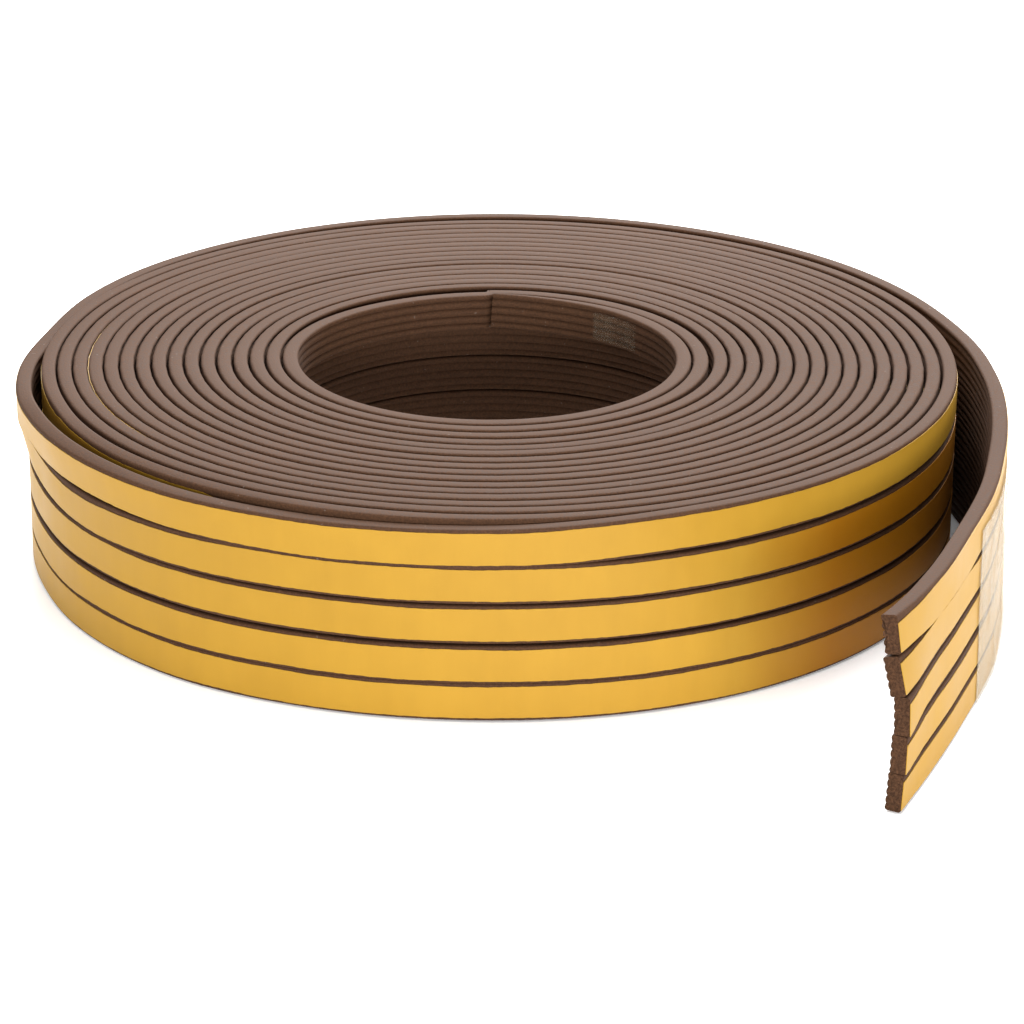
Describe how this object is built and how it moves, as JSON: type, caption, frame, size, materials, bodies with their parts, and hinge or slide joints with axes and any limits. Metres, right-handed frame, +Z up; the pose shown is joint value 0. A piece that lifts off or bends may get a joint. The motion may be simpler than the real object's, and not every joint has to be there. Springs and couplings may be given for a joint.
{
  "type": "foam seal tape roll",
  "caption": "Roll of ribbed foam draught-seal tape lying on its end: strips side by side with release liners, a round bore, a loose outer turn and a free cut tail.",
  "frame": {"origin": "middle of the roll's outline seen from above, at the level it lies on", "axes": "+Z up along the coil's axis, +Y away from the tail's cut end, +X towards the loose side of the last turn"},
  "size_m": [0.227, 0.2618, 0.0447],
  "materials": {
    "foam": "matte closed-cell foam skin",
    "liner": "satin coated release paper",
    "film": "clear glossy film"
  },
  "bodies": {
    "root": {"foam_strip_1": "foam", "foam_strip_2": "foam", "foam_strip_3": "foam", "foam_strip_4": "foam", "foam_strip_5": "foam", "release_liner_1": "liner", "release_liner_2": "liner", "release_liner_3": "liner", "release_liner_4": "liner", "release_liner_5": "liner", "clear_tape_outer": "film", "clear_tape_inner": "film"}
  },
  "joints": []
}
